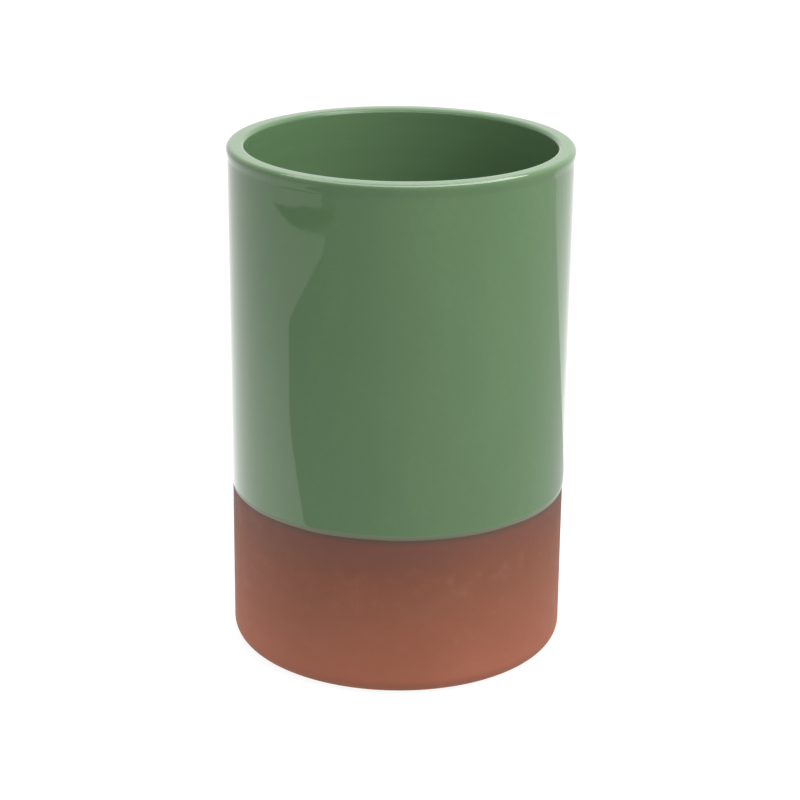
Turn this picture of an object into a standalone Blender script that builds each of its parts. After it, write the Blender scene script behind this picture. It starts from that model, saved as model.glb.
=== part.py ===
"""A tall terracotta plant pot: a turned clay body and the green glaze that it was dipped in.

The clay is one turned piece with a drain hole. The glaze is the skin left by dipping the pot upside
down, as deep as the dip line: it runs up the outside, over the rim and down the inside to one level.
Metres, +Z up. The origin is the centre of the foot, on the surface that the pot stands on.
"""

import math

import bmesh
import bpy

# Driving dimensions of the glazed pot
HEIGHT = 0.2008
BODY_RADIUS = 0.066
LIP_RADIUS = 0.0665
RIM_WIDTH = 0.007
DIP_LINE_HEIGHT = 0.0643

# The glaze is a skin on the clay. The clay is turned down behind it by a small gap, which keeps the
# two solids apart, so that below the dip line the bare clay is only the glaze's thickness lower.
GLAZE_THICKNESS = 0.0004
GLAZE_GAP = 0.0003
TURNED_DOWN_DEPTH = GLAZE_THICKNESS + GLAZE_GAP

# Lip and rim: the wall swells outwards just under the rim, whose two edges are rounded
LIP_HEIGHT = 0.0055
RIM_ROUND = 0.0018

# Inside: the wall thickens a little towards the floor
INSIDE_TAPER = 0.0008
FLOOR_HEIGHT = 0.009
FLOOR_FILLET = 0.008

# Foot: a flat ring round a shallow recess, with a drain hole in the middle
FOOT_ROUND = 0.0063
FOOT_RING_INNER_RADIUS = 0.050
RECESS_DEPTH = 0.002
DRAIN_RADIUS = 0.009
DRAIN_ROUND = 0.0015

# Facets
TURN_STEPS = 72
ARC_STEPS = 5
LIP_STEPS = 4
BEAD_STEPS = 3
DRAIN_STEPS = 3

# Colours are linear RGB
TERRACOTTA = (0.29, 0.105, 0.062)
GREEN_GLAZE = (0.109, 0.196, 0.093)


def arc(centre, radius, start_deg, end_deg, steps=ARC_STEPS):
    """Points (r, z) on an arc about centre, both ends included. 0 degrees points outwards, 90 up."""
    points = []
    for step in range(steps + 1):
        angle = math.radians(start_deg + (end_deg - start_deg) * step / steps)
        points.append((centre[0] + radius * math.cos(angle), centre[1] + radius * math.sin(angle)))
    return points


def inside_radius(height):
    """Radius of the glazed inside wall at a height."""
    return LIP_RADIUS - RIM_WIDTH - INSIDE_TAPER * (1 - height / HEIGHT)


def lip_curve(depth):
    """The outside wall where it swells from the body to the lip, from the bottom up."""
    points = []
    for step in range(LIP_STEPS + 1):
        share = step / LIP_STEPS
        swell = share * share * (3 - 2 * share)
        radius = BODY_RADIUS + (LIP_RADIUS - BODY_RADIUS) * swell - depth
        points.append((radius, HEIGHT - LIP_HEIGHT + share * (LIP_HEIGHT - RIM_ROUND)))
    return points


def over_the_rim(depth):
    """The wall's outline at a depth under the glazed surface: up the outside and over the rim."""
    outer_centre = (LIP_RADIUS - RIM_ROUND, HEIGHT - RIM_ROUND)
    inner_centre = (inside_radius(HEIGHT) + RIM_ROUND, HEIGHT - RIM_ROUND)
    outer_edge = arc(outer_centre, RIM_ROUND - depth, 0, 90)
    inner_edge = arc(inner_centre, RIM_ROUND - depth, 90, 180)
    return lip_curve(depth) + outer_edge[1:] + inner_edge


def clay_section():
    """The clay's closed section, from the foot up the outside, over the rim and back under the floor."""
    outside = BODY_RADIUS - GLAZE_THICKNESS
    foot = arc((outside - FOOT_ROUND, FOOT_ROUND), FOOT_ROUND, -90, 0)

    ledge_height = DIP_LINE_HEIGHT - GLAZE_GAP
    ledge_inside = inside_radius(ledge_height) + GLAZE_THICKNESS
    outer_ledge = [(outside, ledge_height), (outside - GLAZE_GAP, ledge_height)]
    inner_ledge = [(ledge_inside + GLAZE_GAP, ledge_height), (ledge_inside, ledge_height)]
    wall = outer_ledge + over_the_rim(TURNED_DOWN_DEPTH) + inner_ledge

    inside = inside_radius(FLOOR_HEIGHT) + GLAZE_THICKNESS
    floor = arc((inside - FLOOR_FILLET, FLOOR_HEIGHT + FLOOR_FILLET), FLOOR_FILLET, 0, -90)
    drain_centre = DRAIN_RADIUS + DRAIN_ROUND
    drain_top = arc((drain_centre, FLOOR_HEIGHT - DRAIN_ROUND), DRAIN_ROUND, 90, 180, DRAIN_STEPS)
    drain_foot = arc((drain_centre, RECESS_DEPTH + DRAIN_ROUND), DRAIN_ROUND, 180, 270, DRAIN_STEPS)
    recess_edge = [(FOOT_RING_INNER_RADIUS - RECESS_DEPTH, RECESS_DEPTH), (FOOT_RING_INNER_RADIUS, 0.0)]
    return foot + wall + floor + drain_top + drain_foot + recess_edge


def glaze_section():
    """The glaze's closed section: its surface, its inside edge, its underside and its outside edge."""
    middle_depth = GLAZE_THICKNESS / 2
    outer_bead = (BODY_RADIUS - middle_depth, DIP_LINE_HEIGHT + middle_depth)
    inner_bead = (inside_radius(DIP_LINE_HEIGHT) + middle_depth, DIP_LINE_HEIGHT + middle_depth)
    outer_edge = arc(outer_bead, middle_depth, -180, 0, BEAD_STEPS)
    inner_edge = arc(inner_bead, middle_depth, -180, 0, BEAD_STEPS)
    underside = over_the_rim(GLAZE_THICKNESS)
    return outer_edge + over_the_rim(0.0) + inner_edge + underside[::-1]


def turned(name, section, material):
    """One solid of revolution about Z from a closed section of (radius, height) points."""
    shape = bmesh.new()
    profile = [shape.verts.new((radius, 0.0, height)) for radius, height in section]
    edges = [shape.edges.new((profile[i - 1], profile[i])) for i in range(len(profile))]
    bmesh.ops.spin(
        shape,
        geom=profile + edges,
        cent=(0, 0, 0),
        axis=(0, 0, 1),
        angle=math.tau,
        steps=TURN_STEPS,
        use_merge=True,
    )
    bmesh.ops.recalc_face_normals(shape, faces=shape.faces)
    mesh = bpy.data.meshes.new(name)
    shape.to_mesh(mesh)
    shape.free()
    mesh.shade_smooth()
    mesh.set_sharp_from_angle(angle=math.radians(40))
    mesh.materials.append(material)
    pot_piece = bpy.data.objects.new(name, mesh)
    bpy.context.scene.collection.objects.link(pot_piece)
    return pot_piece


def fired_material(name, colour, roughness):
    """A plain ceramic material."""
    material = bpy.data.materials.new(name)
    material.use_nodes = True
    shader = material.node_tree.nodes["Principled BSDF"]
    shader.inputs["Base Color"].default_value = (*colour, 1.0)
    shader.inputs["Roughness"].default_value = roughness
    shader.inputs["Metallic"].default_value = 0.0
    return material


def clear_scene():
    for leftover in list(bpy.data.objects):
        bpy.data.objects.remove(leftover)


def main():
    clear_scene()
    turned("clay_body", clay_section(), fired_material("terracotta", TERRACOTTA, 0.85))
    turned("glaze_coat", glaze_section(), fired_material("green_glaze", GREEN_GLAZE, 0.08))


main()
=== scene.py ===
"""The looks of the tall glazed terracotta pot: fine meshes, fired-clay and glaze materials, a pale studio.

Lengths are metres, +Z is up, and the origin is the centre of the foot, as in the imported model.
An azimuth is in degrees round Z: 0 is the side that faces the camera, -Y, and 90 is +X.
"""

import math

import bpy
import numpy as np
from mathutils import Matrix, Vector, noise


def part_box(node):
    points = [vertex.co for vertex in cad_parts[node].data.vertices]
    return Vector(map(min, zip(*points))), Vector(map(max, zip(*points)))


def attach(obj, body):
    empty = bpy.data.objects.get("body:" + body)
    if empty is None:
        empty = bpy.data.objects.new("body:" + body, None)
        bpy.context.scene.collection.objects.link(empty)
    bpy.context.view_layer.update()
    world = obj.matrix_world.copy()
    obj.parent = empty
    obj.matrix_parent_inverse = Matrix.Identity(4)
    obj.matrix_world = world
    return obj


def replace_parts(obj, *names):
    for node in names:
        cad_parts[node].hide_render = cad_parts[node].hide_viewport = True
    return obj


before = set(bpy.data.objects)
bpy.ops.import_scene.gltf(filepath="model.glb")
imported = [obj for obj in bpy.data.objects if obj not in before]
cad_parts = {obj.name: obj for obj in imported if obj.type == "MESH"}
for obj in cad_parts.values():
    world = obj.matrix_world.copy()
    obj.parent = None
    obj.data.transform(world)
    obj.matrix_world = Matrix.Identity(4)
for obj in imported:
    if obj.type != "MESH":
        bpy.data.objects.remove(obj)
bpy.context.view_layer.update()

# Sizes read from the CAD frame
GLAZE_LOW, GLAZE_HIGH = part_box("glaze_coat")
HEIGHT = GLAZE_HIGH.z
LIP_RADIUS = GLAZE_HIGH.x
DIP_LINE_HEIGHT = GLAZE_LOW.z

# The rest of the CAD model's section
LIP_SWELL = 0.0005
BODY_RADIUS = LIP_RADIUS - LIP_SWELL
LIP_HEIGHT = 0.0055
RIM_WIDTH = 0.007
RIM_ROUND = 0.0018
GLAZE_THICKNESS = 0.0004
INSIDE_TAPER = 0.0008
FLOOR_HEIGHT = 0.009
FLOOR_FILLET = 0.008
FOOT_ROUND = 0.0063
FOOT_RING_INNER_RADIUS = 0.050
RECESS_DEPTH = 0.002
DRAIN_RADIUS = 0.009
DRAIN_ROUND = 0.0015

# Fine mesh: steps round the pot, and their length along its straight walls
SEGMENTS = 280
WALL_STEP = 0.0020

# The glaze sits this far off the clay, so that the two surfaces don't meet
SKIN_CLEARANCE = 0.00003

# The glaze thins to nothing over this height at its edge
EDGE_HEIGHT = 0.0022

# Between the outside wall and the inside wall
MIDDLE_RADIUS = LIP_RADIUS - RIM_WIDTH / 2

# How far the surfaces and the dip line stray
SLOW_WAVE = 0.00007
QUICK_WAVE = 0.000025
GRIT = 0.00002
LINE_STRAY = 0.00022
LINE_RIPPLE = 0.00010
LINE_STRAY_REACH = 0.012

# Where the wall's waves fade out: from these heights, over these heights
FOOT_FADE_START = 0.004
FOOT_FADE_HEIGHT = 0.012
RIM_FADE_START = 0.0005
RIM_FADE_HEIGHT = 0.006


# ---------------------------------------------------------------- profiles


def arc(centre, radius, start_deg, end_deg, steps):
    """Points (r, z) on an arc about centre, both ends included. 0 degrees points outwards, 90 up."""
    angles = np.radians(np.linspace(start_deg, end_deg, steps + 1))
    return [(centre[0] + radius * math.cos(a), centre[1] + radius * math.sin(a)) for a in angles]


def run(start, end, step=WALL_STEP):
    """Points strictly between two (r, z) points, a step apart."""
    count = max(1, round(math.dist(start, end) / step))
    return [
        (start[0] + (end[0] - start[0]) * i / count, start[1] + (end[1] - start[1]) * i / count)
        for i in range(1, count)
    ]


def joined(*pieces):
    """One outline from several, with evenly spaced points along the straight stretches between them."""
    outline = list(pieces[0])
    for piece in pieces[1:]:
        outline += run(outline[-1], piece[0]) + list(piece)
    return outline


def smooth_share(share):
    share = min(max(share, 0.0), 1.0)
    return share * share * (3 - 2 * share)


def inside_radius(height):
    """Radius of the glazed inside wall at a height."""
    return LIP_RADIUS - RIM_WIDTH - INSIDE_TAPER * (1 - height / HEIGHT)


def lip_curve(depth):
    """The outside wall where it swells to the lip, from the bottom up, at a depth under the surface."""
    steps = 10
    low, high = HEIGHT - LIP_HEIGHT, HEIGHT - RIM_ROUND
    return [
        (BODY_RADIUS + LIP_SWELL * smooth_share(i / steps) - depth, low + (high - low) * i / steps)
        for i in range(steps + 1)
    ]


def rim_curve(depth):
    """Over the rim from outside to inside, at a depth under the glazed surface."""
    outer_centre = (LIP_RADIUS - RIM_ROUND, HEIGHT - RIM_ROUND)
    inner_centre = (inside_radius(HEIGHT) + RIM_ROUND, HEIGHT - RIM_ROUND)
    outer_edge = arc(outer_centre, RIM_ROUND - depth, 0, 90, 12)
    inner_edge = arc(inner_centre, RIM_ROUND - depth, 90, 180, 12)
    return joined(outer_edge, inner_edge)[1:]


def clay_section():
    """The clay's closed section: foot, outside, rim, inside, floor, drain hole and recess."""
    outside = BODY_RADIUS - GLAZE_THICKNESS
    inside = inside_radius(FLOOR_HEIGHT) + GLAZE_THICKNESS
    foot = arc((outside - FOOT_ROUND, FOOT_ROUND), FOOT_ROUND, -90, 0, 12)
    floor = arc((inside - FLOOR_FILLET, FLOOR_HEIGHT + FLOOR_FILLET), FLOOR_FILLET, 0, -90, 10)
    drain_top = arc((DRAIN_RADIUS + DRAIN_ROUND, FLOOR_HEIGHT - DRAIN_ROUND), DRAIN_ROUND, 90, 180, 6)
    drain_foot = arc((DRAIN_RADIUS + DRAIN_ROUND, RECESS_DEPTH + DRAIN_ROUND), DRAIN_ROUND, 180, 270, 6)
    recess_edge = [(FOOT_RING_INNER_RADIUS - RECESS_DEPTH, RECESS_DEPTH), (FOOT_RING_INNER_RADIUS, 0.0)]
    outline = joined(
        foot,
        lip_curve(GLAZE_THICKNESS),
        rim_curve(GLAZE_THICKNESS),
        floor,
        drain_top,
        drain_foot,
        recess_edge,
    )
    return outline + run(outline[-1], outline[0])


def glaze_edge(base_radius, side):
    """The glaze's surface as it thins to nothing at its edge, from the edge up, on clay of a radius.

    side is 1 on the outside wall and -1 on the inside wall.
    """
    steps = 9
    points = []
    for i in range(1, steps + 1):
        share = (i / steps) ** 2
        thickness = (GLAZE_THICKNESS - SKIN_CLEARANCE) * (1 - (1 - share) ** 2)
        radius = base_radius + side * (SKIN_CLEARANCE + thickness)
        points.append((radius, DIP_LINE_HEIGHT + share * EDGE_HEIGHT))
    return points


def glaze_section():
    """The glaze's closed section: outside from its edge up, over the rim, down inside, and its underside."""
    clay_outside = BODY_RADIUS - GLAZE_THICKNESS
    clay_inside = inside_radius(DIP_LINE_HEIGHT) + GLAZE_THICKNESS
    under = GLAZE_THICKNESS - SKIN_CLEARANCE
    surface = joined(
        glaze_edge(clay_outside, 1),
        lip_curve(0.0),
        rim_curve(0.0),
        glaze_edge(clay_inside, -1)[::-1],
    )
    underside = joined(
        [(clay_outside + SKIN_CLEARANCE, DIP_LINE_HEIGHT)],
        lip_curve(under),
        rim_curve(under),
        [(clay_inside - SKIN_CLEARANCE, DIP_LINE_HEIGHT)],
    )
    return surface + underside[::-1]


# ---------------------------------------------------------------- meshes


def turned(name, section, shift):
    """A closed solid of revolution from a section of (r, z), each point then moved by shift(point)."""
    section = np.array(section)
    angles = np.linspace(0.0, math.tau, SEGMENTS, endpoint=False)
    rows = len(section)
    points = np.empty((rows, SEGMENTS, 3))
    points[:, :, 0] = section[:, :1] * np.cos(angles)
    points[:, :, 1] = section[:, :1] * np.sin(angles)
    points[:, :, 2] = section[:, 1:]
    points = points.reshape(-1, 3)
    points = np.array([shift(Vector(p)) for p in points])

    row, column = np.meshgrid(np.arange(rows), np.arange(SEGMENTS), indexing="ij")
    next_row, next_column = (row + 1) % rows, (column + 1) % SEGMENTS
    corners = [row * SEGMENTS + column, row * SEGMENTS + next_column]
    corners += [next_row * SEGMENTS + next_column, next_row * SEGMENTS + column]
    faces = np.stack(corners, axis=-1).reshape(-1, 4)

    mesh = bpy.data.meshes.new(name)
    mesh.from_pydata(points.tolist(), [], faces.tolist())
    mesh.validate()
    mesh.shade_smooth()
    piece = bpy.data.objects.new(name, mesh)
    bpy.context.scene.collection.objects.link(piece)
    return piece


def waviness(point):
    """How far the wall stands out at a point: hand-finished unevenness, under 0.1 mm."""
    slow = noise.noise(point * 14.0)
    quick = noise.noise(point * 38.0 + Vector((7.0, 3.0, 5.0)))
    return SLOW_WAVE * slow + QUICK_WAVE * quick


def outwards(point):
    """The level direction from the pot's axis to a point."""
    return Vector((point.x, point.y, 0.0)).normalized()


def wall_share(point):
    """1 on the upright walls, fading to 0 towards the rim's top and the foot."""
    over_foot = smooth_share((point.z - FOOT_FADE_START) / FOOT_FADE_HEIGHT)
    under_rim = smooth_share((HEIGHT - RIM_FADE_START - point.z) / RIM_FADE_HEIGHT)
    return over_foot * under_rim


def clay_shift(point):
    wall = waviness(point) * wall_share(point)
    grit = GRIT * noise.noise(point * 900.0)
    return point + outwards(point) * (wall + grit)


def line_shift(point):
    """How far the dip line strays from level round the pot, differently outside and inside."""
    around = outwards(point) * 3.2
    is_outside = math.hypot(point.x, point.y) > MIDDLE_RADIUS
    side = Vector((0.0, 0.0, 4.0 if is_outside else 9.0))
    return LINE_STRAY * noise.noise(around + side) + LINE_RIPPLE * noise.noise(around * 4.0 + side)


def glaze_shift(point):
    wall = waviness(point) * wall_share(point)
    near_line = 1.0 - smooth_share((point.z - DIP_LINE_HEIGHT) / LINE_STRAY_REACH)
    moved = point + outwards(point) * wall
    moved.z += line_shift(point) * near_line
    return moved


# ---------------------------------------------------------------- node helpers


class Nodes:
    """Builds one node tree. Each call adds a node, links or sets its inputs, and returns its output."""

    def __init__(self, tree):
        self.tree = tree
        tree.nodes.clear()

    def add(self, kind, output=0, settings=None, **inputs):
        """Adds a node. Inputs are named by label with _ for spaces, or in0, in1... by place."""
        node = self.tree.nodes.new(kind)
        for name, value in (settings or {}).items():
            setattr(node, name, value)
        for name, value in inputs.items():
            by_place = name.startswith("in") and name[2:].isdigit()
            socket = node.inputs[int(name[2:])] if by_place else node.inputs[name.replace("_", " ")]
            if isinstance(value, bpy.types.NodeSocket):
                self.tree.links.new(value, socket)
            else:
                socket.default_value = value
        return node.outputs[output] if node.outputs else None

    def maths(self, operation, first, second=0.0, third=0.0):
        return self.add("ShaderNodeMath", settings={"operation": operation}, in0=first, in1=second, in2=third)

    def blend(self, factor, first, second):
        """A colour between two colours."""
        settings = {"data_type": "RGBA", "clamp_factor": True}
        return self.add("ShaderNodeMix", 2, settings, in0=factor, in6=first, in7=second)

    def noise(self, where, scale, detail=4.0, roughness=0.55, distortion=0.0):
        return self.add(
            "ShaderNodeTexNoise",
            Vector=where,
            Scale=scale,
            Detail=detail,
            Roughness=roughness,
            Distortion=distortion,
        )

    def ramp(self, value, low, high, start=0.0, end=1.0, soft=True):
        """value mapped from low..high to start..end."""
        settings = {"interpolation_type": "SMOOTHSTEP" if soft else "LINEAR", "clamp": True}
        if low > high:
            low, high, start, end = high, low, end, start
        return self.add(
            "ShaderNodeMapRange",
            settings=settings,
            Value=value,
            in1=low,
            in2=high,
            in3=start,
            in4=end,
        )


def rgb(red, green, blue):
    return (red, green, blue, 1.0)


def new_material(name):
    material = bpy.data.materials.new(name)
    material.use_nodes = True
    return material, Nodes(material.node_tree)


# ---------------------------------------------------------------- materials

# Colours are linear RGB. A noise scale is in waves per metre.
# The foot colour is the clay with painted bounce light from the floor on it.
CLAY_FOOT_BOUNCE_LIT = rgb(0.355, 0.1190, 0.0690)
CLAY_UPPER = rgb(0.210, 0.0775, 0.0450)
CLAY_PALE = rgb(0.350, 0.150, 0.098)
CLAY_DARK = rgb(0.220, 0.074, 0.044)
CLAY_FLASHED = rgb(0.175, 0.0710, 0.0530)
# The scorched colour is partly a burnt stain and partly painted shade under the glaze edge.
CLAY_SCORCHED_AND_SHADED = rgb(0.105, 0.072, 0.052)
GLAZE_PALE = rgb(0.1135, 0.2035, 0.0960)
GLAZE_DEEP = rgb(0.1065, 0.1925, 0.0920)
GLAZE_SPECK = rgb(0.1010, 0.1850, 0.0870)
GLAZE_INSIDE = rgb(0.109, 0.195, 0.0965)
GLAZE_INSIDE_DEEP = rgb(0.105, 0.188, 0.0935)
GLAZE_THIN = rgb(0.165, 0.130, 0.088)


def stretched(nodes, where, scale):
    """A position scaled by a different amount along each axis."""
    return nodes.add("ShaderNodeMapping", Vector=where, Scale=scale)


def finish_material(nodes, colour, roughness, normal, specular_level):
    """Ends a material's nodes with its shader."""
    shader = nodes.add("ShaderNodeBsdfPrincipled", Base_Color=colour, Roughness=roughness, Normal=normal)
    shader.node.inputs["Specular IOR Level"].default_value = specular_level
    nodes.add("ShaderNodeOutputMaterial", Surface=shader)


def terracotta():
    """Bare fired clay: mottled, dull and gritty, paler at the foot with painted bounce light from the floor,
    flashed dark under the glaze, and darkest in a band at the glaze edge that is partly a burnt stain and
    partly painted shade.
    """
    material, nodes = new_material("terracotta_fine")
    where = nodes.add("ShaderNodeTexCoord", output=3)
    height = nodes.add("ShaderNodeSeparateXYZ", output=2, in0=where)

    broad = nodes.noise(where, 28.0, 3.0)
    middle = nodes.noise(where, 160.0, 4.0, 0.6)
    fine = nodes.noise(where, 1500.0, 3.0, 0.7)
    # Painted bounce light from the floor: the clay turns paler towards the foot, fading out about 5 cm up.
    strayed = nodes.maths("ADD", height, nodes.ramp(broad, 0.3, 0.7, -0.004, 0.004))
    colour = nodes.blend(nodes.ramp(strayed, 0.004, 0.052, soft=False), CLAY_FOOT_BOUNCE_LIT, CLAY_UPPER)
    colour = nodes.blend(nodes.ramp(middle, 0.45, 0.80, 0.0, 0.25), colour, CLAY_PALE)
    colour = nodes.blend(nodes.ramp(fine, 0.52, 0.80, 0.0, 0.35), colour, CLAY_DARK)

    strayed = nodes.maths("ADD", height, nodes.ramp(broad, 0.3, 0.7, -0.0015, 0.0015))
    flashed = nodes.ramp(strayed, DIP_LINE_HEIGHT - 0.019, DIP_LINE_HEIGHT - 0.0005, 0.0, 0.9)
    colour = nodes.blend(flashed, colour, CLAY_FLASHED)
    # A dark band right under the glaze edge: partly a burnt stain, partly painted shade under the edge.
    scorched_and_shaded = nodes.ramp(height, DIP_LINE_HEIGHT - 0.003, DIP_LINE_HEIGHT, 0.0, 0.9)
    colour = nodes.blend(scorched_and_shaded, colour, CLAY_SCORCHED_AND_SHADED)

    roughness = nodes.ramp(middle, 0.3, 0.7, 0.59, 0.71)
    grain = nodes.add("ShaderNodeBump", Height=fine, Distance=0.00012, Strength=0.5)
    turning = nodes.noise(stretched(nodes, where, (6.0, 6.0, 900.0)), 1.0, 2.0)
    grain = nodes.add("ShaderNodeBump", Height=turning, Distance=0.00006, Strength=0.5, Normal=grain)
    finish_material(nodes, colour, roughness, grain, 0.22)
    return material


def green_glaze():
    """Glossy green glaze: slightly clouded and specked, ringed inside, thin and brown at its edge."""
    material, nodes = new_material("green_glaze_fine")
    where = nodes.add("ShaderNodeTexCoord", output=3)
    height = nodes.add("ShaderNodeSeparateXYZ", output=2, in0=where)

    cloud = nodes.noise(stretched(nodes, where, (1.0, 1.0, 0.35)), 45.0, 4.0, 0.6, 0.4)
    mottle = nodes.noise(where, 380.0, 4.0, 0.6)
    colour = nodes.blend(nodes.ramp(cloud, 0.35, 0.68), GLAZE_DEEP, GLAZE_PALE)
    colour = nodes.blend(nodes.ramp(mottle, 0.35, 0.75, 0.0, 0.5), colour, GLAZE_SPECK)
    in_plan = stretched(nodes, where, (1.0, 1.0, 0.0))
    from_axis = nodes.add("ShaderNodeVectorMath", 1, {"operation": "LENGTH"}, in0=in_plan)
    inside = nodes.ramp(from_axis, MIDDLE_RADIUS, LIP_RADIUS - RIM_WIDTH)
    rings = nodes.noise(stretched(nodes, where, (9.0, 9.0, 240.0)), 1.0, 3.0)
    ringed = nodes.blend(nodes.ramp(rings, 0.35, 0.65), GLAZE_INSIDE_DEEP, GLAZE_INSIDE)
    colour = nodes.blend(inside, colour, ringed)

    edge = nodes.ramp(height, DIP_LINE_HEIGHT + EDGE_HEIGHT, DIP_LINE_HEIGHT + 0.0002)
    colour = nodes.blend(nodes.maths("MULTIPLY", edge, 0.9), colour, GLAZE_THIN)

    roughness = nodes.ramp(mottle, 0.3, 0.7, 0.035, 0.075)
    roughness = nodes.maths("ADD", roughness, nodes.maths("MULTIPLY", edge, 0.35))
    orange_peel = nodes.noise(where, 210.0, 2.0)
    peel = nodes.add("ShaderNodeBump", Height=orange_peel, Distance=0.00002, Strength=0.5)
    finish_material(nodes, colour, roughness, peel, 0.5)
    return material


# ---------------------------------------------------------------- pieces


def build_pot():
    clay = turned("fired_clay", clay_section(), clay_shift)
    clay.data.materials.append(terracotta())
    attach(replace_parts(clay, "clay_body"), "root")

    glaze = turned("dipped_glaze", glaze_section(), glaze_shift)
    glaze.data.materials.append(green_glaze())
    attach(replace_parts(glaze, "glaze_coat"), "root")


# ---------------------------------------------------------------- studio

POT_CENTRE = Vector((0.0, 0.0, HEIGHT / 2))
CARD_RADIUS = 0.18
CARD_TOP = 0.40

# The sweep card's heights, and the azimuths of its front and back ends
DRAWN_BACK_HEIGHT = 0.070
LEAN_START = 0.106
LEAN_HEIGHT = 0.036
NOTCH_HEIGHT = 0.148
SWEEP_HEIGHT = 0.165
SWEEP_FRONT_LOW = -53.0
SWEEP_FRONT_MIDDLE = -65.0
SWEEP_FRONT_HIGH = -41.0
SWEEP_FRONT_TOP = -45.0
SWEEP_BACK_LOW = -182.0
SWEEP_BACK_HIGH = -255.0

ROOM_GLOW = 0.59
FLOOR_GLOW = 0.90
FLOOR_HALF_WIDTH = 9.0


def at(azimuth, elevation, distance, centre):
    """A point seen from centre at an azimuth and elevation in degrees."""
    a, e = math.radians(azimuth), math.radians(elevation)
    aside = Vector((math.sin(a) * math.cos(e), -math.cos(a) * math.cos(e), math.sin(e)))
    return centre + aside * distance


def softbox(name, azimuth, elevation, distance, width, height, watts, colour=(1.0, 1.0, 1.0)):
    """A rectangular soft light aimed at the pot, which doesn't show itself to the camera."""
    light = bpy.data.lights.new(name, "AREA")
    light.shape = "RECTANGLE"
    light.size, light.size_y = width, height
    light.energy = watts
    light.color = colour
    lamp = bpy.data.objects.new(name, light)
    lamp.location = at(azimuth, elevation, distance, POT_CENTRE)
    lamp.rotation_euler = (POT_CENTRE - lamp.location).to_track_quat("-Z", "Y").to_euler()
    lamp.visible_camera = False
    bpy.context.scene.collection.objects.link(lamp)


def floor_material():
    """White plastic lit from behind, so that hardly a shadow falls on it."""
    material, nodes = new_material("light_table")
    shader = nodes.add("ShaderNodeBsdfPrincipled", Base_Color=rgb(0.15, 0.15, 0.15), Roughness=0.9)
    shader.node.inputs["Specular IOR Level"].default_value = 0.0
    shader.node.inputs["Emission Strength"].default_value = FLOOR_GLOW
    nodes.add("ShaderNodeOutputMaterial", Surface=shader)
    return material


def card_material(name, start_glow, end_glow, low_glow, sideways):
    """A white light that changes from front to back, or from left to right, and grows towards the floor."""
    material, nodes = new_material(name)
    where = nodes.add("ShaderNodeTexCoord", output=3)
    along = nodes.add("ShaderNodeSeparateXYZ", output=0 if sideways else 1, in0=where)
    height = nodes.add("ShaderNodeSeparateXYZ", output=2, in0=where)
    start, end = (-CARD_RADIUS, CARD_RADIUS) if sideways else (-0.5 * CARD_RADIUS, 0.7 * CARD_RADIUS)
    glow = nodes.ramp(along, start, end, start_glow, end_glow, soft=False)
    low = nodes.ramp(height, 0.0, 0.8 * HEIGHT, low_glow, 0.0, soft=False)
    shader = nodes.add("ShaderNodeEmission", Strength=nodes.maths("ADD", glow, low))
    nodes.add("ShaderNodeOutputMaterial", Surface=shader)
    return material


def card(name, radius, rows, start_glow, end_glow, low_glow=0.0, top_radius=None, sideways=False):
    """A curved card that goes round the pot and shows only in its gloss.

    rows holds (height, azimuth where the card starts, azimuth where it ends), from the bottom up.
    A card with a top_radius leans from its radius at the first row to that at the last.
    """
    steps = 72
    points = []
    radii = np.linspace(radius, top_radius or radius, len(rows))
    for (height, start, end), row_radius in zip(rows, radii):
        for i in range(steps + 1):
            a = math.radians(start + (end - start) * i / steps)
            points.append((row_radius * math.sin(a), -row_radius * math.cos(a), height))
    faces = []
    for row in range(len(rows) - 1):
        for i in range(steps):
            corner = row * (steps + 1) + i
            faces.append((corner, corner + 1, corner + steps + 2, corner + steps + 1))
    mesh = bpy.data.meshes.new(name)
    mesh.from_pydata(points, [], faces)
    mesh.shade_smooth()
    mesh.materials.append(card_material(name, start_glow, end_glow, low_glow, sideways))
    sheet = bpy.data.objects.new(name, mesh)
    sheet.visible_camera = False
    sheet.visible_diffuse = False
    sheet.visible_shadow = False
    bpy.context.scene.collection.objects.link(sheet)


def build_floor():
    """A light table. It shows in gloss but gives no diffuse light, unlike the room and softboxes."""
    half = FLOOR_HALF_WIDTH
    corners = [(-half, -half, 0), (half, -half, 0), (half, half, 0), (-half, half, 0)]
    mesh = bpy.data.meshes.new("floor")
    mesh.from_pydata(corners, [], [(0, 1, 2, 3)])
    mesh.materials.append(floor_material())
    floor = bpy.data.objects.new("floor", mesh)
    floor.visible_diffuse = False
    bpy.context.scene.collection.objects.link(floor)


def build_world():
    world = bpy.data.worlds.new("pale_room")
    world.use_nodes = True
    nodes = Nodes(world.node_tree)
    background = nodes.add("ShaderNodeBackground", Color=rgb(1.0, 1.0, 1.0), Strength=ROOM_GLOW)
    nodes.add("ShaderNodeOutputWorld", Surface=background)
    bpy.context.scene.world = world


def build_lights():
    softbox("top_softbox", 0, 90, 1.3, 1.4, 1.4, 7.2)
    softbox("back_softbox", 180, 45, 1.4, 1.2, 0.8, 9.6)
    softbox("high_right_softbox", 80, 55, 1.2, 0.8, 0.8, 7.2)
    softbox("low_right_softbox", 80, 25, 1.2, 0.7, 0.8, 1.8)
    softbox("front_right_softbox", 40, 35, 1.3, 0.8, 0.8, 6.2, (1.0, 0.99, 0.93))
    softbox("low_left_softbox", -80, -16, 0.24, 0.16, 0.06, 0.085)


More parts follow.
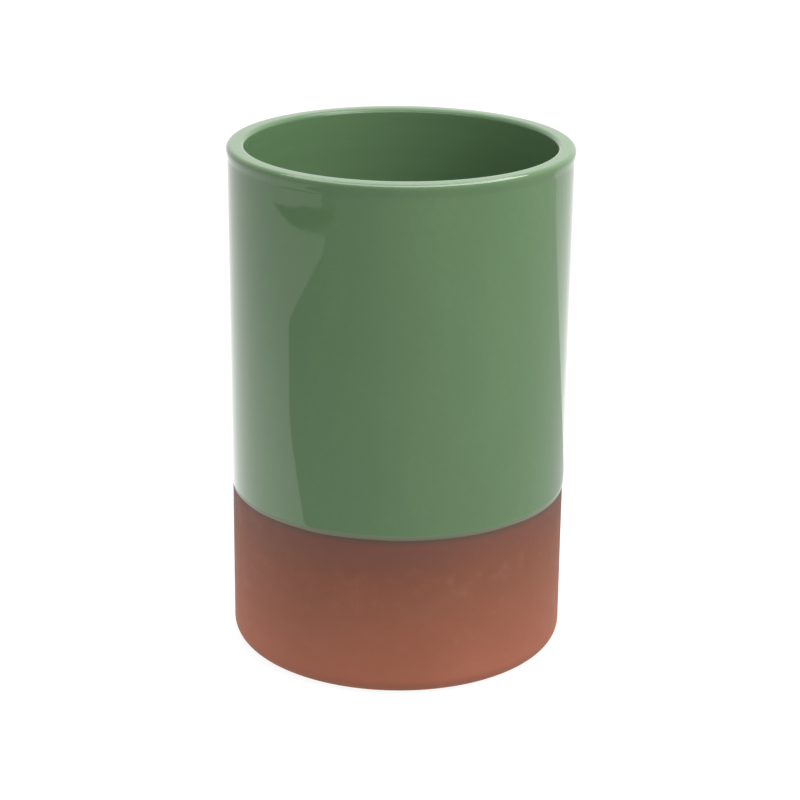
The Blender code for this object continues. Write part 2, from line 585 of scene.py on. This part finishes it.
def sweep_under_notch():
    """The sweep card's rows from the floor to its notch.

    Its front end draws back as it rises, and then leans forward to the notch. Its back end reaches
    further round the pot as it rises, quickly at first.
    """
    steps = 36
    rows = []
    for i in range(steps + 1):
        height = NOTCH_HEIGHT * i / steps
        drawn_back = (SWEEP_FRONT_MIDDLE - SWEEP_FRONT_LOW) * smooth_share(height / DRAWN_BACK_HEIGHT)
        leant = min(max((height - LEAN_START) / LEAN_HEIGHT, 0.0), 1.0)
        front = SWEEP_FRONT_LOW + drawn_back + (SWEEP_FRONT_HIGH - SWEEP_FRONT_MIDDLE) * leant
        back = SWEEP_BACK_LOW + (SWEEP_BACK_HIGH - SWEEP_BACK_LOW) * (height / NOTCH_HEIGHT) ** 0.35
        rows.append((height, front, back))
    return rows


def build_cards():
    """The cards that the glaze mirrors.

    White ones stand behind and to the left, with a dark one in the notch between them. A dim ring
    stands outside them all, and a bright one hangs over the front of the rim.
    """
    notch_corners = [(0.149, -63.0), (0.156, -77.0), (0.158, -55.0), (0.160, -42.0)]
    notch_rows = [(height, front, SWEEP_BACK_HIGH) for height, front in notch_corners]
    top_row = (SWEEP_HEIGHT, SWEEP_FRONT_TOP, SWEEP_BACK_HIGH)
    sweep_rows = sweep_under_notch() + notch_rows + [top_row]
    card("sweep_card", CARD_RADIUS, sweep_rows, 0.86, 1.16, 0.64)
    upper_rows = [top_row, (CARD_TOP, -60.0, -270.0)]
    card("upper_card", CARD_RADIUS, upper_rows, 0.46, 1.12)
    dark_rows = [
        (0.148, -53.0, -62.0),
        (0.152, -38.0, -70.0),
        (0.156, -36.0, -77.0),
        (0.159, -36.0, -48.0),
    ]
    card("dark_card", CARD_RADIUS + 0.005, dark_rows, 0.06, 0.06)
    dim_rows = [(0.0, -180.0, 180.0), (CARD_TOP, -180.0, 180.0)]
    card("dim_card", CARD_RADIUS + 0.01, dim_rows, 0.25, 0.63, 0.23, sideways=True)
    rim_rows = [(0.258, -75.0, 80.0), (0.262, -75.0, 80.0)]
    card("rim_card", 0.118, rim_rows, 1.6, 11.5, top_radius=BODY_RADIUS, sideways=True)


# ---------------------------------------------------------------- camera

CAMERA_TARGET = Vector((0.00056, 0.0, 0.0969))
CAMERA_ELEVATION = 19.49
CAMERA_DISTANCE = 0.9067
CAMERA_LENS = 103.29
CAMERA_ROLL = 0.61


def build_camera():
    """A view from the front, a little above, with a slight roll."""
    camera_data = bpy.data.cameras.new("camera")
    camera_data.lens = CAMERA_LENS
    camera_data.sensor_width = 36.0
    camera = bpy.data.objects.new("camera", camera_data)
    place = at(0.0, CAMERA_ELEVATION, CAMERA_DISTANCE, CAMERA_TARGET)
    aim = (CAMERA_TARGET - place).to_track_quat("-Z", "Y").to_matrix().to_4x4()
    roll = Matrix.Rotation(math.radians(CAMERA_ROLL), 4, "Z")
    camera.matrix_world = Matrix.Translation(place) @ aim @ roll
    bpy.context.scene.collection.objects.link(camera)
    bpy.context.scene.camera = camera


build_camera()
build_pot()
build_floor()
build_world()
build_lights()
build_cards()
bpy.context.scene.view_settings.view_transform = "Standard"
